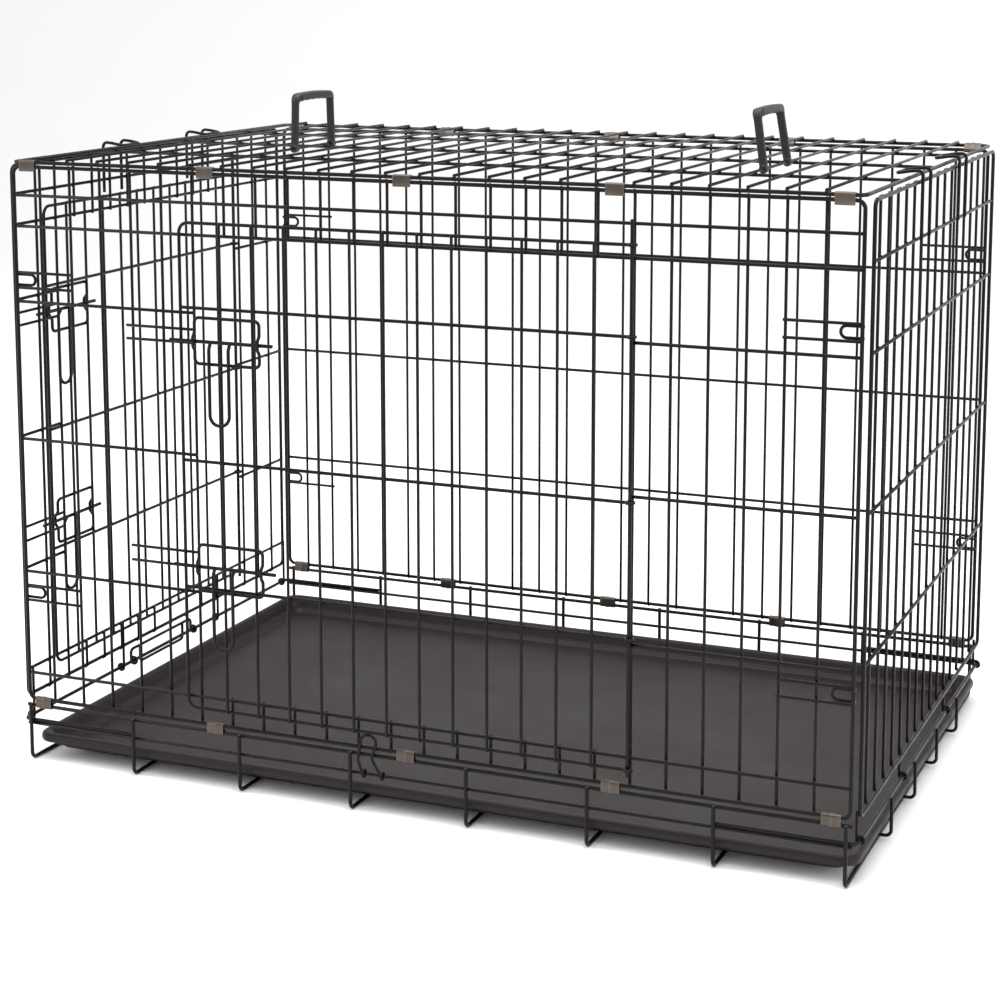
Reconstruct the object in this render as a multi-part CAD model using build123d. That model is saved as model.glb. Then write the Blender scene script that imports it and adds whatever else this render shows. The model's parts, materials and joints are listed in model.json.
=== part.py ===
from build123d import *
import math
import os

os.makedirs("parts", exist_ok=True)

# Wire dog crate, folding. mm, +Z up, X along the long front side, Y from the front to the back.
LENGTH = 1075.0  # along X, over the two end panels

# wire radii: perimeter frames, cross wires, closely spaced bars, bent hardware
R_FRAME, R_CROSS, R_BAR, R_BENT = 2.3, 2.0, 1.8, 1.8
WELD = 0.05  # gap left at each weld, so that every wire stays its own solid
CLEAR = 0.1  # running clearance between pieces that move on each other
EYE = R_FRAME + CLEAR + 1.9  # from a hinge post's centre line to the centre line of a door's eye
STEP_BAR = R_FRAME + R_BAR + WELD  # from a frame wire to the bars on it
STEP_CROSS = R_BAR + R_CROSS + WELD  # from a bar to a cross wire on it

# planes of the panel frames
Y_FRONT, Y_BACK = 6.0, 701.5
X_LEFT, X_RIGHT = 3.0, LENGTH - 3.0
Z_BOTTOM, Z_TOP = 79.3, 750.8  # lowest and highest wires of all four walls
Z_ROOF = 756.3
Y_ROOF_HINGE = Y_BACK + 7.0  # the roof's back rail stands outside the back panel

# side wires of the long panels, and the bars between them
X0, X1 = 11.5, LENGTH - 11.5
BAR_FIRST, BAR_PITCH, BAR_COUNT = 45.9, 42.44, 24
BARS = [BAR_FIRST + BAR_PITCH * k for k in range(BAR_COUNT)]
# side wires of the end panels, and the bars between them
Y0, Y1, END_GAPS = 14.6, 692.9, 16
END_BARS = [Y0 + (Y1 - Y0) / END_GAPS * k for k in range(1, END_GAPS)]

# levels of the cross wires
SILL, HEADER, UPPER = 113.0, 678.0, 716.0
THIRDS = (244.0, 413.0, 585.0)
# doors: levels of their own wires, and which bars stand at the doorway's sides
DOOR_LOW, DOOR_HIGH = 100.0, 693.0
DOOR_MIDS = (251.0, 407.0, 592.0)
FRONT_OPEN, FRONT_HINGE = 5, 18
END_OPEN, END_HINGE = 1, 12
DOOR_OVERLAP = 13.6  # how far the door's free edge laps past the doorway's side
# slide bolts: level of the rod, its two keeper wires and its bracket
BOLTS = {
    "lower": (279.6, (275.0, 293.0), (250.0, 307.0)),
    "upper": (553.6, (549.0, 565.0), (527.0, 582.0)),
}
R_ROD, R_PULL = 2.2, 2.1
# along the wall: a latch's bracket, its rod at rest and the middle of its pull, and how much higher it is
FRONT_LATCH = ((267.5, 354.0), (234.0, 371.0), 302.0, 0.0)
END_LATCH = ((109.0, 190.0), (77.0, 208.0), 143.0, 3.0)
PULL_HALF, PULL_DROP = 13.0, 99.0
# levels of the walls without a doorway, and of the short wires at the corners of the long panels
BACK_LEVELS = (247.0, 415.0, 587.0)
RIGHT_LEVELS = (248.0, 415.0, 588.0, 686.0)
CORNER_LEVELS = (207.0, 226.0, 602.0, 621.0)
CATCH_LEVELS = (216.5, 611.5)

# base
Z_RAIL, Z_MID_RAIL, Z_END_RAIL = 70.8, 47.0, 51.3
HOOP_X = [15.0 + (LENGTH - 30.0) / 7 * k for k in range(8)]
RUNNER_Y = [154.0 + 126.7 * k for k in range(4)]
WRAP = 160.0  # how far each end rail runs along the front and the back
# tray
TRAY_X = (14.0, LENGTH - 4.0)
TRAY_Y = (10.5, 697.0)
TRAY_Z = (8.9, 32.0)
SHEET = 2.2  # wall thickness of the pan
LEDGE_RISE = 8.0  # from the pan's underside to its ledge
# the pan's insets: rim's inner edge, outer and inner edge of the ledge, edge of the floor
TRAY_INSETS = (11.0, 15.0, 21.0, 25.0)
# tray catch: its gate's and its tongue's place along the end rail, and how low each one reaches
GATE_Y, TONGUE_Y = (262.0, 421.0), (285.0, 398.0)
Z_GATE, Z_TONGUE = 66.0, 43.0
# front bail: where its two eyes turn on the front's middle rail
BAIL_X = (479.0, 503.0)

# sheet-metal hinge clips, centred between bars
CLIP_LENGTH, CLIP_SHEET, CLIP_CLEAR = 22.0, 1.0, 0.08
CLIP_X = [
    32.5,
    (BARS[5] + BARS[6]) / 2,
    (BARS[11] + BARS[12]) / 2,
    (BARS[17] + BARS[18]) / 2,
    LENGTH - 32.5,
]
# handles: the roof bar each one stands on, where its first foot is, and its lean towards the left end
HANDLES = {"left_handle": (5, 266.0, 0.0), "right_handle": (20, 212.0, 9.0)}
HANDLE_SPAN, HANDLE_RISE = 112.0, 72.0


def rod(a, b, r):
    """A straight wire from a to b."""
    a, b = Vector(*a), Vector(*b)
    return Plane(origin=a, z_dir=b - a) * extrude(Circle(r), (b - a).length)


def path_of(points, bend, closed=False):
    """A wire through the points with every corner rounded to the bend radius."""
    pts = [Vector(*p) for p in points]
    n = len(pts)
    bends = bend if isinstance(bend, (list, tuple)) else [bend] * n
    corners = []
    for i in range(n):
        if not closed and i in (0, n - 1):
            corners.append((pts[i], None, pts[i]))
            continue
        p, a, b = pts[i], pts[i - 1], pts[(i + 1) % n]
        d1, d2 = (a - p).normalized(), (b - p).normalized()
        half = math.acos(max(-1.0, min(1.0, d1.dot(d2)))) / 2
        t = bends[i] / math.tan(half)
        toward = (d1 + d2).normalized()
        centre = p + toward * (bends[i] / math.sin(half))
        corners.append((p + d1 * t, centre - toward * bends[i], p + d2 * t))
    edges = []
    for i, (start, mid, end) in enumerate(corners):
        if mid is not None:
            edges.append(ThreePointArc(start, mid, end))
        if i < n - 1 or closed:
            nxt = corners[(i + 1) % n][0]
            if (nxt - end).length > 1e-6:
                edges.append(Line(end, nxt))
    return Wire([e.edge() if hasattr(e, "edge") else e for e in edges])


def bent(points, r, bend, closed=False):
    """A bent wire of radius r, open or closed."""
    path = path_of(points, bend, closed)
    section = Plane(origin=path @ 0, z_dir=path % 0) * Circle(r)
    return sweep(section, path=path)


def ring(centre, axis, bore, r):
    """A closed eye of wire around a wire of radius bore, with running clearance."""
    return Plane(origin=centre, z_dir=axis) * Torus(bore + CLEAR + r, r)


def save(node, solids):
    """One named piece, or one named group of pieces, in its own file."""
    flat = []
    for s in solids:
        flat += list(s.solids())
    shape = flat[0] if len(flat) == 1 else Compound(children=flat)
    shape.label = node
    export_step(shape, f"parts/{node}.step")


# ---------------------------------------------------------------- long panels and end panels
# A wall's own coordinates are u along it, z up and d, the depth outwards from its frame wires.
def front_at(u, d, z):
    return (u, Y_FRONT - d, z)


def back_at(u, d, z):
    return (u, Y_BACK + d, z)


def left_at(u, d, z):
    return (X_LEFT - d, u, z)


def right_at(u, d, z):
    return (X_RIGHT + d, u, z)


BAR_D = -STEP_BAR  # bars stand on the inner side of the frame
CROSS_D = BAR_D + STEP_CROSS
POST_D = CROSS_D + R_CROSS + R_FRAME + WELD  # a door's hinge post stands on the outer side
DOOR_D = 4.4
DOOR_BAR_D = DOOR_D + STEP_CROSS
BRACKET_D = DOOR_BAR_D + STEP_CROSS
ROD_D = DOOR_BAR_D + R_BAR + R_ROD + CLEAR


def frame(at, u0, u1):
    corners = [at(u0, 0, Z_BOTTOM), at(u1, 0, Z_BOTTOM), at(u1, 0, Z_TOP), at(u0, 0, Z_TOP)]
    return [bent(corners, R_FRAME, 9.0, closed=True)]


def bars(at, us, z0=Z_BOTTOM - 0.5, z1=Z_TOP + 1.5):
    return [rod(at(u, BAR_D, z0), at(u, BAR_D, z1), R_BAR) for u in us]


def cross(at, u0, u1, z, r=R_CROSS):
    """A cross wire from one upright to another, stopping on the frame wire where it meets one."""
    return rod(at(u0, CROSS_D, z), at(u1, CROSS_D, z), r)


def door_wall(at, u0, u1, us, opened, hinge):
    """Bars, cross wires and keepers of a wall with a doorway in it."""
    inside = [u for i, u in enumerate(us) if opened < i < hinge]
    sides = [u for i, u in enumerate(us) if i <= opened or i >= hinge]
    edge = R_FRAME + WELD
    walls = bars(at, sides)
    walls += bars(at, inside, HEADER - 2.5)
    walls += bars(at, inside, z1=SILL + 2.5)
    wires = [cross(at, u0 + edge, u1 - edge, z) for z in (SILL, HEADER, UPPER)]
    for z in THIRDS:
        wires.append(cross(at, u0 + edge, us[opened] + 2.0, z))
        wires.append(cross(at, us[hinge] - 2.0, u1 - edge, z))
    return walls, wires


def keepers(at, u0, u1, rise=0.0):
    return [cross(at, u0, u1, z + rise, R_BENT) for _, pair, _ in BOLTS.values() for z in pair]


def hinge_post(at, u):
    return [rod(at(u, POST_D, DOOR_LOW - 9), at(u, POST_D, UPPER + 5), R_FRAME)]


def door_frame(at, u_free, u_hinge):
    """The door's rim: one bent wire, both ends closed into eyes around the hinge post."""
    u_end = u_hinge - EYE
    rim = bent(
        [
            at(u_end, DOOR_D, DOOR_HIGH),
            at(u_free, DOOR_D, DOOR_HIGH),
            at(u_free, DOOR_D, DOOR_LOW),
            at(u_end, DOOR_D, DOOR_LOW),
        ],
        R_CROSS,
        12.0,
    )
    for z in (DOOR_LOW, DOOR_HIGH):
        rim += ring(at(u_hinge, POST_D, z), (0, 0, 1), R_FRAME, 1.9)
    return [rim]


def door_mids(at, u_free, u_hinge):
    """The door's cross wires, each ending in an eye around the hinge post."""
    out = []
    for z in DOOR_MIDS:
        wire = rod(at(u_free + R_CROSS + WELD, DOOR_D, z), at(u_hinge - EYE, DOOR_D, z), R_CROSS)
        out.append(wire + ring(at(u_hinge, POST_D, z), (0, 0, 1), R_FRAME, 1.9))
    return out


def door_bars(at, us):
    return [
        rod(at(u, DOOR_BAR_D, DOOR_LOW - 1.5), at(u, DOOR_BAR_D, DOOR_HIGH + 1.5), R_BAR)
        for u in us
    ]


def bracket(at, u0, u1, z_rod, z0, z1):
    """A closed wire loop on the door's bars, stepped out on both sides to let the rod through."""
    out = ROD_D + R_ROD + R_CROSS + CLEAR

    def side(u):
        return [
            at(u, BRACKET_D, z_rod - 11),
            at(u, out, z_rod - 5),
            at(u, out, z_rod + 5),
            at(u, BRACKET_D, z_rod + 11),
        ]

    loop = [at(u0, BRACKET_D, z0)] + side(u0) + [at(u0, BRACKET_D, z1), at(u1, BRACKET_D, z1)]
    loop += side(u1)[::-1] + [at(u1, BRACKET_D, z0)]
    bends = [6.0] + [2.6] * 4 + [6.0, 6.0] + [2.6] * 4 + [6.0]
    return bent(loop, R_CROSS, bends, closed=True)


def bolt(at, u0, u1, u_pull, z):
    """The sliding rod with its hanging wire pull, one welded piece."""
    pull_d = ROD_D + R_ROD + 2.0
    left, right = u_pull - PULL_HALF, u_pull + PULL_HALF
    legs = bent(
        [
            at(left, ROD_D, z),
            at(left, pull_d, z - 8),
            at(left, pull_d, z - PULL_DROP),
            at(right, pull_d, z - PULL_DROP),
            at(right, pull_d, z - 8),
            at(right, ROD_D, z),
        ],
        R_PULL,
        [0, 4.0, 12.5, 12.5, 4.0, 0],
    )
    return [rod(at(u0, ROD_D, z), at(u1, ROD_D, z), R_ROD) + legs]


def latch(at, place):
    """A door's two brackets, and its two bolts by name."""
    (bracket_u0, bracket_u1), (rod_u0, rod_u1), pull, rise = place
    brackets = [
        bracket(at, bracket_u0, bracket_u1, z + rise, low + rise, high + rise)
        for z, _, (low, high) in BOLTS.values()
    ]
    rods = {name: bolt(at, rod_u0, rod_u1, pull, z + rise) for name, (z, _, _) in BOLTS.items()}
    return brackets, rods


def corner_wires(at, u0, u1, us):
    """Pairs of short cross wires at both ends of a long panel, at two heights."""
    edge = R_FRAME + WELD
    out = []
    for z in CORNER_LEVELS:
        out.append(cross(at, u0 + edge, us[1] + 2.0, z, R_BENT))
        out.append(cross(at, us[-2] - 2.0, u1 - edge, z, R_BENT))
    return out


def corner_catches(at, u0, u1):
    """Hairpin wires on the inner side of the end uprights, between the short wires."""
    out = []
    for z in CATCH_LEVELS:
        for u, s in ((u0, 1), (u1, -1)):
            hairpin = [
                at(u - s * 1.5, BAR_D, z + 6.5),
                at(u + s * 24, BAR_D, z + 6.5),
                at(u + s * 24, BAR_D, z - 6.5),
                at(u - s * 1.5, BAR_D, z - 6.5),
            ]
            out.append(bent(hairpin, R_BAR, 6.4))
    return out


def hinge_hooks(at, top):
    """Wires welded to the end panel, each curled round the base's end rail."""
    out = []
    bore = R_FRAME + CLEAR + R_BENT
    curl = [math.radians(180 + 75 * k) for k in range(5)]
    for u in (Y0 + 5.0, END_BARS[4] + 3.6, END_BARS[10] + 3.6, Y1 - 5.0):
        pts = [Vector(*at(u, bore * math.cos(t), Z_END_RAIL + bore * math.sin(t))) for t in curl]
        path = Wire([
            Line(Vector(*at(u, -bore, top)), pts[0]).edge(),
            ThreePointArc(pts[0], pts[1], pts[2]).edge(),
            ThreePointArc(pts[2], pts[3], pts[4]).edge(),
        ])
        out.append(sweep(Plane(origin=path @ 0, z_dir=path % 0) * Circle(R_BENT), path=path))
    return out


# front panel and its door
walls, wires = door_wall(front_at, X0, X1, BARS, FRONT_OPEN, FRONT_HINGE)
free, post = BARS[FRONT_OPEN] - DOOR_OVERLAP, BARS[FRONT_HINGE]
save("front_frame", frame(front_at, X0, X1))
save("front_bars", walls)
save("front_cross_wires", wires)
save("front_keepers", keepers(front_at, BARS[3] - 7.0, BARS[FRONT_OPEN] + 3.5))
save("front_hinge_post", hinge_post(front_at, post))
save("front_corner_wires", corner_wires(front_at, X0, X1, BARS))
save("front_corner_catches", corner_catches(front_at, X0, X1))
save("front_door_frame", door_frame(front_at, free, post))
save("front_door_bars", door_bars(front_at, BARS[FRONT_OPEN + 1 : FRONT_HINGE]))
save("front_door_cross_wires", door_mids(front_at, free, post))
brackets, rods = latch(front_at, FRONT_LATCH)
save("front_latch_brackets", brackets)
for name, solids in rods.items():
    save(f"front_bolt_{name}", solids)

# back panel
save("back_frame", frame(back_at, X0, X1))
save("back_bars", bars(back_at, BARS))
edge = R_FRAME + WELD
save("back_cross_wires", [cross(back_at, X0 + edge, X1 - edge, z) for z in BACK_LEVELS])
save("back_corner_wires", corner_wires(back_at, X0, X1, BARS))
save("back_corner_catches", corner_catches(back_at, X0, X1))

# left end panel and its door
walls, wires = door_wall(left_at, Y0, Y1, END_BARS, END_OPEN, END_HINGE)
free, post = END_BARS[END_OPEN] - DOOR_OVERLAP, END_BARS[END_HINGE]
save("left_end_frame", frame(left_at, Y0, Y1))
save("left_end_bars", walls)
save("left_end_cross_wires", wires)
save("left_end_keepers", keepers(left_at, Y0 + edge, END_BARS[END_OPEN] + 3.5, END_LATCH[3]))
save("left_end_hinge_post", hinge_post(left_at, post))
save("left_end_hinge_hooks", hinge_hooks(left_at, SILL + 3))
save("end_door_frame", door_frame(left_at, free, post))
save("end_door_bars", door_bars(left_at, END_BARS[END_OPEN + 1 : END_HINGE]))
save("end_door_cross_wires", door_mids(left_at, free, post))
brackets, rods = latch(left_at, END_LATCH)
save("end_latch_brackets", brackets)
for name, solids in rods.items():
    save(f"end_bolt_{name}", solids)

# right end panel
save("right_end_frame", frame(right_at, Y0, Y1))
save("right_end_bars", bars(right_at, END_BARS))
save("right_end_cross_wires", [cross(right_at, Y0 + edge, Y1 - edge, z) for z in RIGHT_LEVELS])
save("right_end_hinge_hooks", hinge_hooks(right_at, Z_BOTTOM + 6))

# ---------------------------------------------------------------- roof
roof = [(X0, Y_FRONT), (X1, Y_FRONT), (X1, Y_ROOF_HINGE), (X0, Y_ROOF_HINGE)]
save("roof_frame", [bent([(x, y, Z_ROOF) for x, y in roof], R_FRAME, 9.0, closed=True)])
z_bar = Z_ROOF + STEP_BAR
save("roof_bars", [rod((x, Y_FRONT - 1.0, z_bar), (x, Y_ROOF_HINGE + 1.0, z_bar), R_BAR) for x in BARS])
z_cross = z_bar - STEP_CROSS
bay = (Y_ROOF_HINGE - Y_FRONT) / 4
save(
    "roof_cross_wires",
    [
        rod((X0 + edge, Y_FRONT + bay * k, z_cross), (X1 - edge, Y_FRONT + bay * k, z_cross), R_CROSS)
        for k in (1, 2, 3)
    ],
)


def roof_hook(x_out, x_in, x_end, y0, y1, z_low):
    """A hairpin wire welded on the roof that bends over the end panel and hangs outside it."""
    z_on, z_over = Z_ROOF + R_FRAME + R_CROSS + WELD, Z_ROOF + 8.0

    def half(y):
        return [(x_out, y, z_low), (x_out, y, z_over), (x_in, y, z_over - 1), (x_end, y, z_on)]

    return bent(half(y0) + half(y1)[::-1], R_CROSS, [0, 6.0, 6.0, 5.0, 5.0, 6.0, 6.0, 0])


HOOKS_Y = ((END_BARS[4], END_BARS[5]), (END_BARS[9], END_BARS[10]))
save("roof_hooks_left", [roof_hook(-1.6, 12.0, 28.0, a, b, 698.5) for a, b in HOOKS_Y])
save(
    "roof_hooks_right",
    [roof_hook(LENGTH + 1.6, LENGTH - 12, LENGTH - 28, a, b, 686.0) for a, b in HOOKS_Y],
)


# ---------------------------------------------------------------- hinge clips
def clip(x, a, b):
    """A strip folded into a closed band around two parallel wires whose centres are a and b."""
    (ya, za), (yb, zb) = a, b
    run = math.hypot(yb - ya, zb - za)
    inner = R_FRAME + CLIP_CLEAR
    outer = inner + CLIP_SHEET
    band = SlotCenterToCenter(run, 2 * outer) - SlotCenterToCenter(run, 2 * inner)
    plane = Plane(
        origin=(x - CLIP_LENGTH / 2, (ya + yb) / 2, (za + zb) / 2),
        x_dir=(0, yb - ya, zb - za),
        z_dir=(1, 0, 0),
    )
    return extrude(plane * band, CLIP_LENGTH)


def open_clip(x):
    """A strip folded over the roof's front rail, with an apron down the front's top wire."""
    inner = R_FRAME + CLIP_CLEAR
    outer = inner + CLIP_SHEET
    hood = Circle(outer) - Circle(inner) - Pos(0, -outer) * Rectangle(4 * outer, 2 * outer)
    apron = Pos(-(inner + outer) / 2, -5.4) * Rectangle(CLIP_SHEET, 10.8)
    lip = Pos((inner + outer) / 2, -1.3) * Rectangle(CLIP_SHEET, 2.6)
    plane = Plane(origin=(x - CLIP_LENGTH / 2, Y_FRONT, Z_ROOF), x_dir=(0, 1, 0), z_dir=(1, 0, 0))
    return extrude(plane * (hood + apron + lip), CLIP_LENGTH)


save("base_front_clips", [clip(x, (Y_FRONT, Z_RAIL), (Y_FRONT, Z_BOTTOM)) for x in CLIP_X])
save("base_back_clips", [clip(x, (Y_BACK, Z_RAIL), (Y_BACK, Z_BOTTOM)) for x in CLIP_X])
save("roof_back_clips", [clip(x, (Y_BACK, Z_TOP), (Y_ROOF_HINGE, Z_ROOF)) for x in CLIP_X])
save("roof_front_clips", [open_clip(x) for x in CLIP_X])

# ---------------------------------------------------------------- base
hoop_y = (Y_FRONT - 2 * R_FRAME - WELD, Y_BACK + 2 * R_FRAME + WELD)
save(
    "base_floor_hoops",
    [
        bent(
            [(x, hoop_y[0], Z_RAIL + 2), (x, hoop_y[0], R_FRAME), (x, hoop_y[1], R_FRAME),
             (x, hoop_y[1], Z_RAIL + 2)],
            R_FRAME,
            8.0,
        )
        for x in HOOP_X
    ],
)
z_runner = 2 * R_FRAME + R_CROSS + WELD
x_turn = X_RIGHT + R_FRAME + R_CROSS + WELD
save(
    "base_floor_runners",
    [
        bent([(10.0, y, z_runner), (x_turn, y, z_runner), (x_turn, y, Z_END_RAIL + 1)], R_CROSS, 7.0)
        for y in RUNNER_Y
    ],
)
for name, y in (("front", Y_FRONT), ("back", Y_BACK)):
    save(
        f"base_{name}_rails",
        [
            rod((8.0, y, Z_RAIL), (LENGTH - 8.0, y, Z_RAIL), R_FRAME),
            rod((8.0, y, Z_MID_RAIL - WELD), (LENGTH - 8.0, y, Z_MID_RAIL - WELD), R_CROSS),
        ],
    )
for name, x, s in (("left", X_LEFT, 1), ("right", X_RIGHT, -1)):
    wrap = [(x + s * WRAP, Y_FRONT), (x, Y_FRONT), (x, Y_BACK), (x + s * WRAP, Y_BACK)]
    save(f"base_{name}_rail", [bent([(a, b, Z_END_RAIL) for a, b in wrap], R_FRAME, 8.0)])

# ---------------------------------------------------------------- tray
def tray():
    """A pressed pan: rolled rim, sloping wall, a ledge all round and a flat floor."""
    x0, x1 = TRAY_X
    y0, y1 = TRAY_Y
    low, high = TRAY_Z
    rim, ledge_out, ledge_in, floor = TRAY_INSETS
    ledge, lip = low + LEDGE_RISE, high - SHEET
    skirt = high - 11.0  # the rim's lower edge

    def level(inset, z, radius):
        size = (x1 - x0 - 2 * inset, y1 - y0 - 2 * inset)
        return Pos((x0 + x1) / 2, (y0 + y1) / 2, z) * RectangleRounded(*size, radius)

    def slope(a, b):
        return loft([level(*a), level(*b)])

    def block(inset, z0, z1, radius):
        return extrude(level(inset, z0, radius), z1 - z0)

    # the rolled rim is hollow below; the wall joins its top plate from below
    solid = block(0, skirt, high, 20) - block(SHEET, skirt - 1, lip, 18)
    solid += slope((ledge_out - SHEET, ledge - 1.0, 16), (rim - SHEET, lip + 0.5, 17))
    solid += block(ledge_out - SHEET, ledge - SHEET, ledge - 0.8, 16)
    solid += slope((floor - SHEET, low, 11), (ledge_in - SHEET, ledge - 1.0, 13))
    solid -= block(rim, lip, high + 1, 16)
    solid -= slope((rim, lip, 16), (ledge_out, ledge, 15))
    solid -= slope((ledge_in, ledge + 0.2, 12), (floor, low + SHEET, 10))
    return [solid]


save("tray", tray())

# ---------------------------------------------------------------- small wire catches on the base
# tray catch: hangs on the left end rail, a low gate in front of the tray's end
x_gate = X_LEFT - (R_FRAME + CLEAR + R_CROSS)


def staple(ys, z_open, z_closed, bend):
    """A U of wire in the gate's plane."""
    corners = [(ys[0], z_open), (ys[0], z_closed), (ys[1], z_closed), (ys[1], z_open)]
    return bent([(x_gate, y, z) for y, z in corners], R_CROSS, bend)


gate = staple(GATE_Y, Z_END_RAIL, Z_GATE, 6.0)
for y in GATE_Y:
    gate += ring((X_LEFT, y, Z_END_RAIL), (0, 1, 0), R_FRAME, R_CROSS)
tongue = staple(TONGUE_Y, Z_GATE, Z_TONGUE, 5.0)
save("tray_catch", [gate + tongue])

# front bail: a bent wire standing on the front's middle rail
y_bail = Y_FRONT - (R_FRAME + CLEAR + R_BENT)
bail = bent(
    [
        (BAIL_X[0], y_bail, Z_MID_RAIL - WELD),
        (473.0, y_bail, 64.0),
        (478.0, y_bail, 96.0),
        (500.0, y_bail, 96.0),
        (491.0, y_bail, 68.0),
        (BAIL_X[1], y_bail, Z_MID_RAIL - WELD),
    ],
    R_BENT,
    [0, 6.0, 9.0, 9.0, 6.0, 0],
)
for x in BAIL_X:
    bail += ring((x, Y_FRONT, Z_MID_RAIL - WELD), (1, 0, 0), R_CROSS, R_BENT)
save("front_bail", [bail])


# ---------------------------------------------------------------- handles
def handle(x, y0, lean):
    """A moulded strap handle whose two feet turn on a roof bar."""
    y1 = y0 + HANDLE_SPAN
    top = z_bar + HANDLE_RISE
    side = Plane(origin=(x, 0, 0), x_dir=(0, 1, 0), z_dir=(1, 0, 0))
    outline = Polygon((y0, z_bar), (y0 + 4, top), (y1 - 4, top), (y1, z_bar), align=None)
    window = Polygon(
        (y0 + 9, z_bar - 9), (y0 + 12.5, top - 13), (y1 - 12.5, top - 13), (y1 - 9, z_bar - 9), align=None
    )
    strap = extrude(side * (outline - window), 7.0, both=True)
    strap = fillet(strap.edges().filter_by(Axis.X).group_by(Axis.Z)[-1], 5.0)
    for y in (y0, y1 - 9.0):
        strap += Plane(origin=(x, y, z_bar), z_dir=(0, 1, 0)) * extrude(Circle(5.2), 9.0)
    bore = Circle(R_BAR + CLEAR)
    strap -= Plane(origin=(x, y0 - 5, z_bar), z_dir=(0, 1, 0)) * extrude(bore, HANDLE_SPAN + 10)
    return [strap.rotate(Axis((x, 0, z_bar), (0, 1, 0)), -lean)]


for name, (bar, y0, lean) in HANDLES.items():
    save(name, handle(BARS[bar], y0, lean))
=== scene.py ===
import json
import math

import bmesh
import bpy
from mathutils import Matrix, Vector


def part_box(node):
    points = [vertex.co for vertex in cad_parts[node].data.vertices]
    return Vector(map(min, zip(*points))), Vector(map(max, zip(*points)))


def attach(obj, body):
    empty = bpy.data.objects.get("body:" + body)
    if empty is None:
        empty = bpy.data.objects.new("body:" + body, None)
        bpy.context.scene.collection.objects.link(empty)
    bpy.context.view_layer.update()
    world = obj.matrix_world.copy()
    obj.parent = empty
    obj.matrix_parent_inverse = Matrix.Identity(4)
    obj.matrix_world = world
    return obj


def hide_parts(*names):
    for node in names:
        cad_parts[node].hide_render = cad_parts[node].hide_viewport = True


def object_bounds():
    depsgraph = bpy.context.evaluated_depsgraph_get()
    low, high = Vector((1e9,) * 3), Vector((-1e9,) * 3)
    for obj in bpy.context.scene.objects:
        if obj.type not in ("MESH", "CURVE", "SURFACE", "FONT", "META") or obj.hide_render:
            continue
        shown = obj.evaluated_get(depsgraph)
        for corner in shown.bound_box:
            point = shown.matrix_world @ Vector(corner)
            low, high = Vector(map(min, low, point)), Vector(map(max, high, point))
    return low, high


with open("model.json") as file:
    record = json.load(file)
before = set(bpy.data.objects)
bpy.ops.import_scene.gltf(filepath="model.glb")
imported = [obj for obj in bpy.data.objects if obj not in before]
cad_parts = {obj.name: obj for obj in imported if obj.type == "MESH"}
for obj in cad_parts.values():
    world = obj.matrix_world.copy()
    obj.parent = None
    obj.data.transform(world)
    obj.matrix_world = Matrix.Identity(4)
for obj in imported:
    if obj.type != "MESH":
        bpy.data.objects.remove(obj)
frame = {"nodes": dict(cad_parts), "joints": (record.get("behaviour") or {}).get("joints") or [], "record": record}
cad_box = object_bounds()
MM = 0.001
SMOOTH_UP_TO = math.radians(38)  # edges that turn more than this stay sharp
WELD_GAP = 0.05 * MM  # the gap that stands in for each weld
FRAME_RADIUS, CROSS_RADIUS = 2.3 * MM, 2.0 * MM
CLIP_SHEET = 1.0 * MM
CLIP_OUTER = FRAME_RADIUS + 0.08 * MM + CLIP_SHEET  # outer radius of a clip round a frame wire


# ------------------------------------------------------------------ shader groups
def node_group(name, inputs, outputs):
    """An empty shader group with named sockets, and its two end nodes."""
    tree = bpy.data.node_groups.new(name, "ShaderNodeTree")
    for label, default in inputs.items():
        socket = tree.interface.new_socket(label, in_out="INPUT", socket_type="NodeSocketFloat")
        socket.default_value = default
    for label, kind in outputs.items():
        tree.interface.new_socket(label, in_out="OUTPUT", socket_type=kind)
    return tree, tree.nodes.new("NodeGroupInput"), tree.nodes.new("NodeGroupOutput")


def noise(tree, scale, detail, roughness=0.55):
    """Noise in object space, so that it rides with the piece."""
    place = tree.nodes.new("ShaderNodeTexCoord")
    node = tree.nodes.new("ShaderNodeTexNoise")
    node.inputs["Scale"].default_value = scale
    node.inputs["Detail"].default_value = detail
    node.inputs["Roughness"].default_value = roughness
    tree.links.new(place.outputs["Object"], node.inputs["Vector"])
    return node


def math_node(tree, kind, a, b):
    node = tree.nodes.new("ShaderNodeMath")
    node.operation = kind
    for socket, value in zip(node.inputs, (a, b)):
        if isinstance(value, (int, float)):
            socket.default_value = value
        else:
            tree.links.new(value, socket)
    return node.outputs["Value"]


def span(tree, value, low, high):
    """Spreads a noise value over low to high."""
    node = tree.nodes.new("ShaderNodeMapRange")
    node.inputs["From Min"].default_value = 0.3
    node.inputs["From Max"].default_value = 0.7
    tree.links.new(value, node.inputs["Value"])
    for label, end in (("To Min", low), ("To Max", high)):
        if isinstance(end, (int, float)):
            node.inputs[label].default_value = end
        else:
            tree.links.new(end, node.inputs[label])
    return node.outputs["Result"]


def make_coat_group():
    """Coated wire: patches of thicker and thinner coat, and a fine orange peel."""
    tree, start, end = node_group(
        "coat_variation",
        {"Rough Low": 0.3, "Rough High": 0.45, "Peel": 0.1},
        {"Patches": "NodeSocketFloat", "Roughness": "NodeSocketFloat", "Height": "NodeSocketFloat"},
    )
    patches = noise(tree, 35.0, 3.0)
    peel = noise(tree, 900.0, 2.0)
    rough = span(tree, patches.outputs["Fac"], start.outputs["Rough Low"], start.outputs["Rough High"])
    height = math_node(tree, "MULTIPLY", peel.outputs["Fac"], start.outputs["Peel"])
    tree.links.new(patches.outputs["Fac"], end.inputs["Patches"])
    tree.links.new(rough, end.inputs["Roughness"])
    tree.links.new(height, end.inputs["Height"])
    return tree


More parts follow.
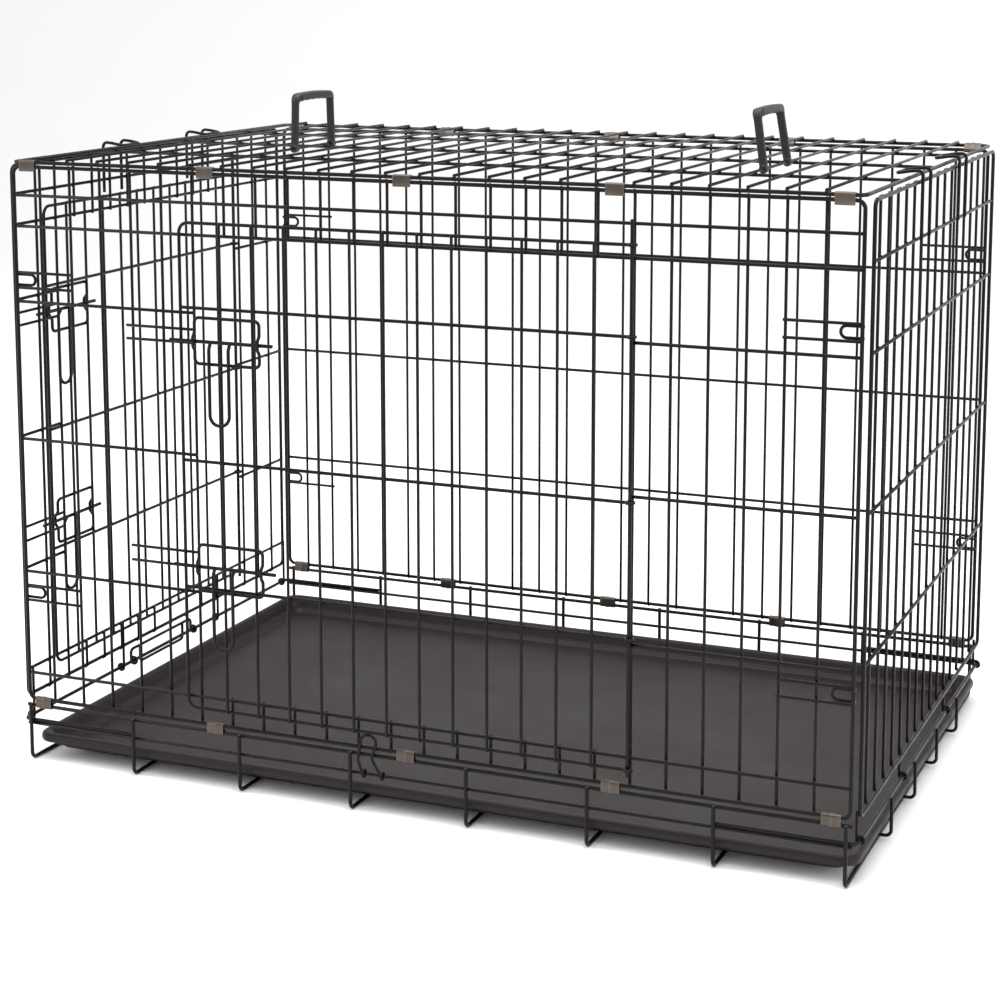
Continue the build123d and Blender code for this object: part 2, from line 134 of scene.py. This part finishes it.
def make_edge_highlight_group():
    """Painted highlight: where an edge stands proud, it is painted lighter, standing in for light caught on the
    edge.
    """
    tree, start, end = node_group(
        "painted_edge_highlights",
        {"Amount": 0.5, "Sharpness": 6.0},
        {"Mask": "NodeSocketFloat"},
    )
    geometry = tree.nodes.new("ShaderNodeNewGeometry")
    above = math_node(tree, "SUBTRACT", geometry.outputs["Pointiness"], 0.5)
    steep = math_node(tree, "MULTIPLY", above, start.outputs["Sharpness"])
    clamp = tree.nodes.new("ShaderNodeClamp")
    tree.links.new(steep, clamp.inputs["Value"])
    patchy = noise(tree, 120.0, 4.0)
    broken = math_node(tree, "MULTIPLY", clamp.outputs["Result"], patchy.outputs["Fac"])
    tree.links.new(math_node(tree, "MULTIPLY", broken, start.outputs["Amount"]), end.inputs["Mask"])
    return tree


def make_grain_group():
    """Moulded pebble grain with larger, fainter flow marks."""
    tree, start, end = node_group(
        "moulded_grain",
        {"Scale": 700.0, "Depth": 0.4, "Rough Low": 0.4, "Rough High": 0.55},
        {"Tone": "NodeSocketFloat", "Roughness": "NodeSocketFloat", "Height": "NodeSocketFloat"},
    )
    place = tree.nodes.new("ShaderNodeTexCoord")
    cells = tree.nodes.new("ShaderNodeTexVoronoi")
    cells.feature = "SMOOTH_F1"
    tree.links.new(place.outputs["Object"], cells.inputs["Vector"])
    tree.links.new(start.outputs["Scale"], cells.inputs["Scale"])
    flow = noise(tree, 9.0, 4.0)
    height = math_node(tree, "MULTIPLY", cells.outputs["Distance"], start.outputs["Depth"])
    tree.links.new(flow.outputs["Fac"], end.inputs["Tone"])
    rough = span(tree, flow.outputs["Fac"], start.outputs["Rough Low"], start.outputs["Rough High"])
    tree.links.new(rough, end.inputs["Roughness"])
    tree.links.new(height, end.inputs["Height"])
    return tree


COAT = make_coat_group()
# painted highlight on proud edges, used by the clip and handle materials
EDGE_HIGHLIGHT = make_edge_highlight_group()
GRAIN = make_grain_group()


# ------------------------------------------------------------------ materials
def blank_material(name):
    material = bpy.data.materials.new(name)
    material.use_nodes = True
    return material, material.node_tree, material.node_tree.nodes["Principled BSDF"]


def place_group(tree, group, **values):
    node = tree.nodes.new("ShaderNodeGroup")
    node.node_tree = group
    for label, value in values.items():
        node.inputs[label.replace("_", " ")].default_value = value
    return node


def two_tones(tree, mask, dark, light):
    node = tree.nodes.new("ShaderNodeMix")
    node.data_type = "RGBA"
    node.inputs["A"].default_value = (*dark, 1)
    node.inputs["B"].default_value = (*light, 1)
    tree.links.new(mask, node.inputs["Factor"])
    return node.outputs["Result"]


def bump(tree, height, distance, strength, shader):
    node = tree.nodes.new("ShaderNodeBump")
    node.inputs["Distance"].default_value = distance
    node.inputs["Strength"].default_value = strength
    tree.links.new(height, node.inputs["Height"])
    tree.links.new(node.outputs["Normal"], shader.inputs["Normal"])


def black_wire():
    material, tree, shader = blank_material("black_coated_wire")
    coat = place_group(tree, COAT, Rough_Low=0.22, Rough_High=0.38, Peel=0.5)
    tone = two_tones(tree, coat.outputs["Patches"], (0.0030, 0.0024, 0.0024), (0.0085, 0.0066, 0.0062))
    tree.links.new(tone, shader.inputs["Base Color"])
    tree.links.new(coat.outputs["Roughness"], shader.inputs["Roughness"])
    bump(tree, coat.outputs["Height"], 0.0002, 0.35, shader)
    shader.inputs["Specular IOR Level"].default_value = 0.16
    return material


def weld_metal():
    material, tree, shader = blank_material("coated_weld")
    coat = place_group(tree, COAT, Rough_Low=0.35, Rough_High=0.55, Peel=1.0)
    tone = two_tones(tree, coat.outputs["Patches"], (0.0032, 0.0025, 0.0025), (0.0095, 0.0075, 0.0068))
    tree.links.new(tone, shader.inputs["Base Color"])
    tree.links.new(coat.outputs["Roughness"], shader.inputs["Roughness"])
    bump(tree, coat.outputs["Height"], 0.0004, 0.6, shader)
    shader.inputs["Specular IOR Level"].default_value = 0.22
    return material


def clip_steel():
    material, tree, shader = blank_material("plated_clip_steel")
    coat = place_group(tree, COAT, Rough_Low=0.24, Rough_High=0.46, Peel=0.3)
    # painted highlight: the clips' proud edges are mixed towards a light brown-grey
    edge_highlight = place_group(tree, EDGE_HIGHLIGHT, Amount=0.7)
    tone = two_tones(tree, coat.outputs["Patches"], (0.040, 0.031, 0.026), (0.125, 0.100, 0.082))
    # the light brown-grey set below is the painted highlight colour on the proud edges
    highlighted = tree.nodes.new("ShaderNodeMix")
    highlighted.data_type = "RGBA"
    highlighted.inputs["B"].default_value = (0.42, 0.37, 0.32, 1)
    tree.links.new(edge_highlight.outputs["Mask"], highlighted.inputs["Factor"])
    tree.links.new(tone, highlighted.inputs["A"])
    tree.links.new(highlighted.outputs["Result"], shader.inputs["Base Color"])
    tree.links.new(coat.outputs["Roughness"], shader.inputs["Roughness"])
    shader.inputs["Metallic"].default_value = 0.85
    bump(tree, coat.outputs["Height"], 0.0002, 0.3, shader)
    return material


def tray_plastic():
    material, tree, shader = blank_material("tray_plastic")
    grain = place_group(tree, GRAIN, Scale=420.0, Depth=0.6, Rough_Low=0.42, Rough_High=0.52)
    tone = two_tones(tree, grain.outputs["Tone"], (0.0125, 0.0082, 0.0078), (0.0185, 0.0130, 0.0124))
    tree.links.new(tone, shader.inputs["Base Color"])
    tree.links.new(grain.outputs["Roughness"], shader.inputs["Roughness"])
    bump(tree, grain.outputs["Height"], 0.0005, 0.25, shader)
    shader.inputs["Specular IOR Level"].default_value = 0.22
    return material


def handle_plastic():
    material, tree, shader = blank_material("handle_plastic")
    grain = place_group(tree, GRAIN, Scale=1400.0, Depth=0.5, Rough_Low=0.34, Rough_High=0.5)
    # painted highlight: the handle's proud edges are lightened from near-black towards brown-grey
    edge_highlight = place_group(tree, EDGE_HIGHLIGHT, Amount=0.5)
    tone = two_tones(tree, edge_highlight.outputs["Mask"], (0.014, 0.012, 0.013), (0.11, 0.09, 0.085))
    tree.links.new(tone, shader.inputs["Base Color"])
    tree.links.new(grain.outputs["Roughness"], shader.inputs["Roughness"])
    bump(tree, grain.outputs["Height"], 0.0003, 0.3, shader)
    shader.inputs["Specular IOR Level"].default_value = 0.3
    return material


def studio_white():
    material, tree, shader = blank_material("studio_floor")
    tone = two_tones(tree, noise(tree, 1.5, 2.0).outputs["Fac"], (0.94, 0.945, 0.95), (0.955, 0.955, 0.96))
    tree.links.new(tone, shader.inputs["Base Color"])
    shader.inputs["Roughness"].default_value = 0.7
    return material


WIRE, WELD_SKIN, CLIP = black_wire(), weld_metal(), clip_steel()
TRAY, HANDLE, STUDIO = tray_plastic(), handle_plastic(), studio_white()


# ------------------------------------------------------------------ mesh helpers
def finish_piece(name, mesh_data, material, body, replaced=()):
    """Turns a bmesh into a smooth piece that rides on its body."""
    bmesh.ops.recalc_face_normals(mesh_data, faces=mesh_data.faces)
    mesh = bpy.data.meshes.new(name)
    mesh_data.to_mesh(mesh)
    mesh_data.free()
    mesh.materials.append(material)
    for face in mesh.polygons:
        face.use_smooth = True
    mesh.set_sharp_from_angle(angle=SMOOTH_UP_TO)
    piece = bpy.data.objects.new(name, mesh)
    bpy.context.scene.collection.objects.link(piece)
    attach(piece, body)
    if replaced:
        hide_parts(*replaced)


def strands(node):
    """The box (low corner, high corner) of every separate wire or part of a CAD node."""
    mesh = frame["nodes"][node].data
    group = list(range(len(mesh.vertices)))

    def top(i):
        while group[i] != i:
            group[i] = group[group[i]]
            i = group[i]
        return i

    where = {}
    for v in mesh.vertices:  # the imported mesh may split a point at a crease, so points are joined by place
        key = tuple(round(c * 1e6) for c in v.co)
        group[top(v.index)] = top(where.setdefault(key, v.index))
    for edge in mesh.edges:
        group[top(edge.vertices[0])] = top(edge.vertices[1])
    found = {}
    for v in mesh.vertices:
        found.setdefault(top(v.index), []).append(v.co)
    boxes = []
    for points in found.values():
        low = Vector([min(p[k] for p in points) for k in range(3)])
        high = Vector([max(p[k] for p in points) for k in range(3)])
        boxes.append((low, high))
    return sorted(boxes, key=lambda b: tuple(round(c, 5) for c in (*b[0], *b[1])))


def long_axis(box):
    size = box[1] - box[0]
    return max(range(3), key=lambda k: size[k])


def ring_points(centre, axis, radius, sides):
    """A circle of points around a main axis (0, 1 or 2)."""
    a, b = [k for k in range(3) if k != axis]
    out = []
    for i in range(sides):
        t = 2 * math.pi * (i + 0.5) / sides
        point = Vector(centre)
        point[a] += radius * math.cos(t)
        point[b] += radius * math.sin(t)
        out.append(point)
    return out


def skin_rings(work, rings, closed=False):
    """Faces between rings of points, closed into a loop or with a cap on each end."""
    loops = [[work.verts.new(p) for p in ring] for ring in rings]
    pairs = list(zip(loops, loops[1:]))
    if closed:
        pairs.append((loops[-1], loops[0]))
    for one, two in pairs:
        for i in range(len(one)):
            j = (i + 1) % len(one)
            work.faces.new((one[i], one[j], two[j], two[i]))
    if not closed:
        work.faces.new(loops[0][::-1])
        work.faces.new(loops[-1])


def straight_wire(work, box, sides=14):
    """A drawn wire with sheared, slightly rounded ends."""
    axis = long_axis(box)
    centre = (box[0] + box[1]) / 2
    radius = min(box[1][k] - box[0][k] for k in range(3) if k != axis) / 2
    crown = radius * 0.3
    profile = [(0, radius * 0.55), (crown * 0.35, radius * 0.88), (crown, radius)]
    length = box[1][axis] - box[0][axis]
    rings = []
    for along, wide in profile + [(length - a, w) for a, w in reversed(profile)]:
        place = Vector(centre)
        place[axis] = box[0][axis] + along
        rings.append(ring_points(place, axis, wide, sides))
    skin_rings(work, rings)


def redraw_straight(node, body):
    """Replaces a node of straight wires with rounder, cleanly cut ones."""
    work = bmesh.new()
    for box in strands(node):
        straight_wire(work, box)
    finish_piece(node + "_drawn", work, WIRE, body, (node,))


def sides_of(node, radius):
    """The four straight sides of a closed rectangular frame, as boxes."""
    low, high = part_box(node)
    flat = min(range(3), key=lambda k: high[k] - low[k])
    across, up = [k for k in range(3) if k != flat]
    out = []
    for axis, other in ((across, up), (up, across)):
        for edge in (low[other], high[other] - 2 * radius):
            a, b = Vector(low), Vector(high)
            a[other], b[other] = edge, edge + 2 * radius
            out.append((a, b))
    return out


# ------------------------------------------------------------------ resistance welds
def crossing(a, b):
    """Where two straight wires touch at right angles, and the direction across the joint."""
    axis_a, axis_b = long_axis(a), long_axis(b)
    if axis_a == axis_b:
        return None
    normal = 3 - axis_a - axis_b
    centre_a, centre_b = (a[0] + a[1]) / 2, (b[0] + b[1]) / 2
    slack = 1.5 * MM
    if not a[0][axis_a] - slack < centre_b[axis_a] < a[1][axis_a] + slack:
        return None
    if not b[0][axis_b] - slack < centre_a[axis_b] < b[1][axis_b] + slack:
        return None
    if centre_a[normal] < centre_b[normal]:
        gap = b[0][normal] - a[1][normal]
        middle = (a[1][normal] + b[0][normal]) / 2
    else:
        gap = a[0][normal] - b[1][normal]
        middle = (b[1][normal] + a[0][normal]) / 2
    if not -0.4 * MM < gap < 0.25 * MM:
        return None
    place = Vector((0, 0, 0))
    place[axis_a], place[axis_b], place[normal] = centre_b[axis_a], centre_a[axis_b], middle
    return place, axis_a, axis_b, normal


def weld_blobs(name, body, first, second):
    """A flattened bead of squeezed metal at each crossing of two sets of wires."""
    work = bmesh.new()
    for a in first:
        for b in second:
            hit = crossing(a, b)
            if hit is None:
                continue
            place, axis_a, axis_b, normal = hit
            wide_a = (a[1][axis_b] - a[0][axis_b]) / 2
            wide_b = (b[1][axis_a] - b[0][axis_a]) / 2
            scale = Vector((1, 1, 1))
            scale[axis_a] = wide_b * 1.25
            scale[axis_b] = wide_a * 1.25
            scale[normal] = min(wide_a, wide_b) * 0.72
            blob = bmesh.ops.create_icosphere(work, subdivisions=2, radius=1.0)
            for vert in blob["verts"]:
                vert.co = Vector([place[k] + vert.co[k] * scale[k] for k in range(3)])
    finish_piece(name, work, WELD_SKIN, body)


# ------------------------------------------------------------------ sheet-metal clips
def slot_line(low, high, sheet, tilted):
    """The centreline, in (y, z), of a band closed round two parallel rails.

    tilted is the band's outer radius where one rail isn't straight above the other, or None.
    """
    wide, tall = high.y - low.y, high.z - low.z
    centre = Vector(((low.y + high.y) / 2, (low.z + high.z) / 2))
    outer = tilted if tilted else wide / 2
    run = Vector((wide - 2 * outer, tall - 2 * outer))
    turn = math.atan2(run.y, run.x)
    radius = outer - sheet / 2
    line = []
    for end, first in ((1, -90), (-1, 90)):
        for k in range(13):
            t = turn + math.radians(first + 15 * k)
            line.append(centre + run * end / 2 + Vector((math.cos(t), math.sin(t))) * radius)
    return line


def hood_line(low, high, sheet):
    """The centreline, in (y, z), of a clip hooked over one rail with an apron on its outer side."""
    radius = (high.y - low.y - sheet) / 2
    centre = Vector(((low.y + high.y) / 2, high.z - sheet / 2 - radius))
    line = [Vector((centre.x - radius, low.z)), Vector((centre.x - radius, (low.z + centre.y) / 2))]
    line += [
        centre + Vector((-math.cos(math.radians(15 * k)), math.sin(math.radians(15 * k)))) * radius
        for k in range(13)
    ]
    return line + [centre + Vector((radius, -radius))]


def strip(work, line, closed, x0, x1, sheet):
    """A folded strip along x with rolled edges and a pressed rib round its middle."""
    count = len(line)
    normals = []
    for i in range(count):
        before = line[i - 1] if closed or i else line[i]
        after = line[(i + 1) % count] if closed or i < count - 1 else line[i]
        along = (after - before).normalized()
        normals.append(Vector((along.y, -along.x)))
    length = x1 - x0
    # (share of the length, share of the sheet's thickness)
    stations = [(0.0, 0.55), (0.02, 0.9), (0.05, 1), (0.36, 1), (0.42, 1), (0.5, 1), (0.58, 1), (0.64, 1)]
    stations += [(1 - s, t) for s, t in reversed(stations[:3])]
    rib = {0.42: 0.4, 0.5: 0.6, 0.58: 0.4}  # station along the strip: height of the rib in mm
    sections = []
    for s, thick in stations:
        lift = rib.get(s, 0.0) * MM
        half = sheet / 2 * thick
        outside = [Vector((x0 + s * length, *(p + n * (half + lift)))) for p, n in zip(line, normals)]
        inside = [Vector((x0 + s * length, *(p - n * half))) for p, n in zip(line, normals)]
        sections.append([work.verts.new(p) for p in outside + inside[::-1]])
    n = len(sections[0])
    for one, two in zip(sections, sections[1:]):
        for i in range(n):
            if closed and i in (count - 1, n - 1):
                continue
            j = (i + 1) % n
            work.faces.new((one[i], one[j], two[j], two[i]))
        if closed:
            for i, j in ((count - 1, 0), (count, n - 1)):
                work.faces.new((one[i], one[j], two[j], two[i]))
    for ring in (sections[0], sections[-1]):
        for i in range(count if closed else count - 1):
            j = (i + 1) % count
            work.faces.new((ring[i], ring[j], ring[n - 1 - j], ring[n - 1 - i]))


def make_clips(node, body, kind):
    """Pressed clips: a hood over one rail, or a band round two rails, upright or tilted."""
    work = bmesh.new()
    for low, high in strands(node):
        if kind == "hood":
            strip(work, hood_line(low, high, CLIP_SHEET), False, low.x, high.x, CLIP_SHEET)
        else:
            outer = CLIP_OUTER if kind == "tilted" else None
            strip(work, slot_line(low, high, CLIP_SHEET, outer), True, low.x, high.x, CLIP_SHEET)
    finish_piece(node + "_pressed", work, CLIP, body, (node,))


# ------------------------------------------------------------------ tray
# (inset from the outline, height above the floor, corner radius), from the foot's underside, round
# the rolled rim and down to the floor of the pan
PAN = [
    (28, 8.9, 9), (24.5, 9.0, 10), (22.8, 9.6, 11), (19.6, 14.0, 12.5), (18.4, 14.8, 13), (14.0, 14.9, 15.5),
    (12.4, 15.6, 16), (11.4, 17.4, 16.5), (8.9, 23.2, 17.5), (7.8, 23.8, 17.5), (3.0, 21.4, 19),
    (1.0, 21.9, 20), (0.2, 23.8, 20), (0.0, 27.0, 20), (0.7, 30.0, 20), (2.4, 31.6, 19), (5.0, 32.0, 18),
    (7.8, 31.9, 17), (9.9, 31.0, 16.4), (11.0, 29.0, 16), (14.2, 19.2, 15.2), (14.8, 17.6, 15),
    (15.9, 16.95, 14.5), (19.6, 16.9, 12.8), (20.9, 16.5, 12.2), (21.8, 15.2, 11.8), (24.2, 12.0, 10.4),
    (25.4, 11.2, 10), (28, 11.1, 9),
]


def rounded_outline(low, high, inset, z, radius, steps=9):
    """A rectangle with rounded corners as a ring of points."""
    ring = []
    corners = ((1, 1, 0), (0, 1, 90), (0, 0, 180), (1, 0, 270))
    for right, back, first in corners:
        cx = high.x - inset - radius if right else low.x + inset + radius
        cy = high.y - inset - radius if back else low.y + inset + radius
        for k in range(steps):
            t = math.radians(first + 90 * k / (steps - 1))
            ring.append(Vector((cx + radius * math.cos(t), cy + radius * math.sin(t), z)))
    return ring


def make_tray():
    """The pressed pan, as rings that step in from its outline."""
    low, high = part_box("tray")
    work = bmesh.new()
    rings = [rounded_outline(low, high, a * MM, z * MM, r * MM) for a, z, r in PAN]
    skin_rings(work, rings)
    finish_piece("pressed_tray", work, TRAY, "tray", ("tray",))


# ------------------------------------------------------------------ handles
def handle_path(low, high, radius):
    """The strap's centreline in (y, z): up one leg, over the grip and down the other leg."""
    inset, lean = 4.5 * MM, 3.0 * MM
    top = high.z - 6.8 * MM
    foot = low.z + 8.5 * MM
    y0, y1 = low.y + inset, high.y - inset
    corners = [(y0 + lean, top), (y1 - lean, top)]
    line = []
    for k in range(9):
        t = k / 9
        line.append((Vector((y0 + lean * t, foot + (top - radius - foot) * t)), 0.0))
    for k in range(9):
        t = math.radians(180 - 90 * k / 8)
        centre = Vector((corners[0][0] + radius, top - radius))
        line.append((centre + Vector((math.cos(t), math.sin(t))) * radius, k / 8))
    for k in range(1, 24):
        t = k / 24
        bow = math.sin(math.pi * t) * 1.2 * MM
        along = corners[0][0] + radius + (corners[1][0] - corners[0][0] - 2 * radius) * t
        line.append((Vector((along, top + bow)), 1.0))
    for k in range(9):
        t = math.radians(90 - 90 * k / 8)
        centre = Vector((corners[1][0] - radius, top - radius))
        line.append((centre + Vector((math.cos(t), math.sin(t))) * radius, 1 - k / 8))
    for k in range(1, 10):
        t = 1 - k / 9
        line.append((Vector((y1 - lean * t, foot + (top - radius - foot) * t)), 0.0))
    return line


HANDLE_EYE, HANDLE_RISE = 5.2 * MM, 72 * MM
HANDLE_EYE_LENGTH = 9.0 * MM
HANDLE_LEAN = {"left_handle": 0.0, "right_handle": 9.0}


def make_handle(node):
    """A moulded strap: slim legs, a thick grip with finger ridges, and an eye at each foot."""
    low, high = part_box(node)
    pivot = next(Vector(j["pos_m"]) for j in frame["joints"] if j["child"] == node)
    x = pivot.x
    low = Vector((x, low.y, pivot.z - HANDLE_EYE))
    high = Vector((x, high.y, pivot.z + HANDLE_RISE))
    path = handle_path(low, high, 8 * MM)
    work = bmesh.new()
    rings = []
    for i, (point, grip) in enumerate(path):
        before, after = path[max(i - 1, 0)][0], path[min(i + 1, len(path) - 1)][0]
        along = (after - before).normalized()
        out = Vector((-along.y, along.x))
        half_wide = (4.8 + 2.2 * grip) * MM
        half_thick = (3.1 + 2.0 * grip) * MM
        ridge = 0.6 * MM * math.sin(i * 1.35) if grip == 1.0 else 0.0
        ring = []
        for k in range(24):
            t = 2 * math.pi * k / 24
            c, s = math.cos(t), math.sin(t)
            wide = half_wide * math.copysign(abs(c) ** 0.5, c)
            thick = half_thick * math.copysign(abs(s) ** 0.5, s)
            if s < 0:
                thick += ridge
            spot = point + out * thick
            ring.append(Vector((x + wide, spot.x, spot.y)))
        rings.append(ring)
    skin_rings(work, rings)
    bar = low.z + HANDLE_EYE
    for y in (low.y, high.y - HANDLE_EYE_LENGTH):
        for_eye = []
        profile = [(0.0, 1.75), (0.0, 4.6), (0.6, 5.2), (8.4, 5.2), (9.0, 4.6), (9.0, 1.75)]
        for along, radius in profile:
            for_eye.append(ring_points((x, y + along * MM, bar), 1, radius * MM, 28))
        skin_rings(work, for_eye, closed=True)
    lean = Matrix.Rotation(math.radians(-HANDLE_LEAN[node]), 3, "Y")
    bmesh.ops.rotate(work, cent=(x, 0, pivot.z), matrix=lean, verts=work.verts)
    finish_piece(node + "_moulded", work, HANDLE, node, (node,))


# ------------------------------------------------------------------ build the pieces
BODY_OF = {}
for body, members in frame["record"]["behaviour"]["bodies"].items():
    for member in members:
        BODY_OF[member] = body

for node, thing in frame["nodes"].items():
    thing.data.materials.clear()
    thing.data.materials.append(WIRE)

STRAIGHT = [
    "front_bars", "front_cross_wires", "front_keepers", "front_corner_wires", "front_hinge_post",
    "front_door_bars", "back_bars", "back_cross_wires", "back_corner_wires",
    "left_end_bars", "left_end_cross_wires", "left_end_keepers", "left_end_hinge_post", "end_door_bars",
    "right_end_bars", "right_end_cross_wires", "roof_bars", "roof_cross_wires",
    "base_front_rails", "base_back_rails",
]
WIRES = {node: strands(node) for node in STRAIGHT}
for node in STRAIGHT:
    redraw_straight(node, BODY_OF[node])

for panel in ("front", "back", "left_end", "right_end", "roof"):
    sides = sides_of(panel + "_frame", FRAME_RADIUS)
    bars = WIRES[panel + "_bars"]
    level = list(WIRES[panel + "_cross_wires"])
    level += WIRES.get(panel + "_keepers", []) + WIRES.get(panel + "_corner_wires", [])
    weld_blobs(panel + "_welds", BODY_OF[panel + "_frame"], bars, level + sides)

for door in ("front", "end"):
    node = door + "_door_frame"
    low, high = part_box(node)
    bars = WIRES[door + "_door_bars"]
    depth = 1 if door == "front" else 0
    rim_depth = bars[0][1][depth] + WELD_GAP
    level = []
    heights = [(b[0].z + b[1].z) / 2 for b in strands(door + "_door_cross_wires")]
    for z in heights + [low.z + CROSS_RADIUS, high.z - CROSS_RADIUS]:
        a, b = Vector(low), Vector(high)
        a.z, b.z = z - CROSS_RADIUS, z + CROSS_RADIUS
        a[depth], b[depth] = rim_depth, rim_depth + 2 * CROSS_RADIUS
        level.append((a, b))
    weld_blobs(door + "_door_welds", BODY_OF[node], bars, level)

make_clips("base_front_clips", "base", "upright")
make_clips("base_back_clips", "base", "upright")
make_clips("roof_back_clips", "back_panel", "tilted")
make_clips("roof_front_clips", "roof", "hood")
make_tray()
make_handle("left_handle")
make_handle("right_handle")


# ------------------------------------------------------------------ floor, light and camera
LENS, LENS_SHIFT = 79.55, -0.2
CAMERA_PLACE = (1.5897, -2.2439, 0.9874)
CAMERA_TURN, CAMERA_TILT = 22.6, -8.5  # degrees
AIR_BRIGHTNESS = 0.85


def make_studio():
    """A pale floor that sweeps up behind the crate."""
    low, high = cad_box
    work = bmesh.new()
    back, rise = high.y + 3.2, 2.6
    line = [(low.y - 4.0, 0.0), (back, 0.0)]
    turns = [math.radians(9 * k) for k in range(1, 11)]
    line += [(back + rise * math.sin(t), rise * (1 - math.cos(t))) for t in turns]
    line.append((back + rise, 7.0))
    rings = [[work.verts.new((x, y, z)) for y, z in line] for x in (-9.0, 9.0)]
    for i in range(len(line) - 1):
        work.faces.new((rings[0][i], rings[0][i + 1], rings[1][i + 1], rings[1][i]))
    mesh = bpy.data.meshes.new("studio_floor")
    work.to_mesh(mesh)
    work.free()
    mesh.materials.append(STUDIO)
    for face in mesh.polygons:
        face.use_smooth = True
    floor = bpy.data.objects.new("studio_floor", mesh)
    bpy.context.scene.collection.objects.link(floor)


def soft_light(name, place, target, size, power):
    """A rectangular area light that faces its target."""
    data = bpy.data.lights.new(name, "AREA")
    data.shape = "RECTANGLE"
    data.size, data.size_y = size
    data.energy = power
    light = bpy.data.objects.new(name, data)
    light.location = place
    light.rotation_euler = (Vector(target) - Vector(place)).to_track_quat("-Z", "Y").to_euler()
    bpy.context.scene.collection.objects.link(light)


def make_lights():
    """Three softboxes and an even white surround."""
    low, high = cad_box
    middle = (low + high) / 2
    soft_light("overhead_softbox", (0.5, 0.2, 3.4), middle, (3.4, 3.0), 120)
    soft_light("left_softbox", (-2.8, -1.6, 2.0), middle, (1.8, 2.2), 50)
    soft_light("right_softbox", (3.6, -0.6, 1.6), middle, (1.4, 2.2), 40)
    world = bpy.data.worlds.new("studio_air")
    world.use_nodes = True
    world.node_tree.nodes["Background"].inputs["Color"].default_value = (1, 1, 1, 1)
    world.node_tree.nodes["Background"].inputs["Strength"].default_value = AIR_BRIGHTNESS
    bpy.context.scene.world = world


def make_camera():
    """A long lens from the front right, a little above the roof."""
    data = bpy.data.cameras.new("camera")
    data.sensor_width = 36.0
    data.lens = LENS
    data.shift_y = LENS_SHIFT
    camera = bpy.data.objects.new("camera", data)
    camera.location = CAMERA_PLACE
    camera.rotation_euler = (math.radians(90 + CAMERA_TILT), 0, math.radians(CAMERA_TURN))
    bpy.context.scene.collection.objects.link(camera)
    bpy.context.scene.camera = camera


make_studio()
make_lights()
make_camera()
bpy.context.scene.view_settings.view_transform = "Standard"
